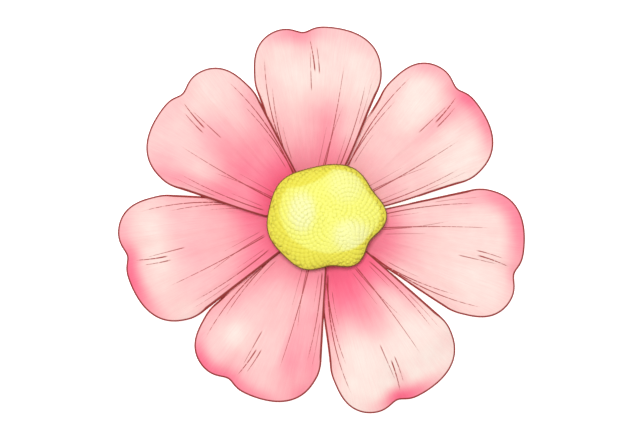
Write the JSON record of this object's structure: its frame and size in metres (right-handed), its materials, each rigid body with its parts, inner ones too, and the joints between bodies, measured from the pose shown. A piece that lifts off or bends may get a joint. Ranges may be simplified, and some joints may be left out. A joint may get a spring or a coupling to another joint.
{
  "type": "cosmos flower",
  "caption": "Open cosmos flower head as picked, face up: separate notched ray petals overlap round a domed disc of florets, over a cup of pale bracts and drooping green ones on a nipped stalk end",
  "frame": {"origin": "On the flower's axis, in the nipped end of the stalk, on the surface that the flower rests on", "axes": "+Z is the way the flower faces, away from the surface; +Y is the way its top petal points in the picture; +X is the picture's right"},
  "size_m": [0.0732, 0.0696, 0.0149],
  "materials": {
    "petal": "soft satin, pink with cream shading",
    "floret": "matte lemon yellow",
    "bract": "thin straw-green, satin",
    "green": "matte leaf green"
  },
  "bodies": {
    "root": {"receptacle": "green", "inner_bracts": "bract", "ray_petal_1": "petal", "ray_petal_2": "petal", "ray_petal_3": "petal", "ray_petal_4": "petal", "ray_petal_5": "petal", "ray_petal_6": "petal", "ray_petal_7": "petal", "disc_florets": "floret"}
  },
  "joints": []
}
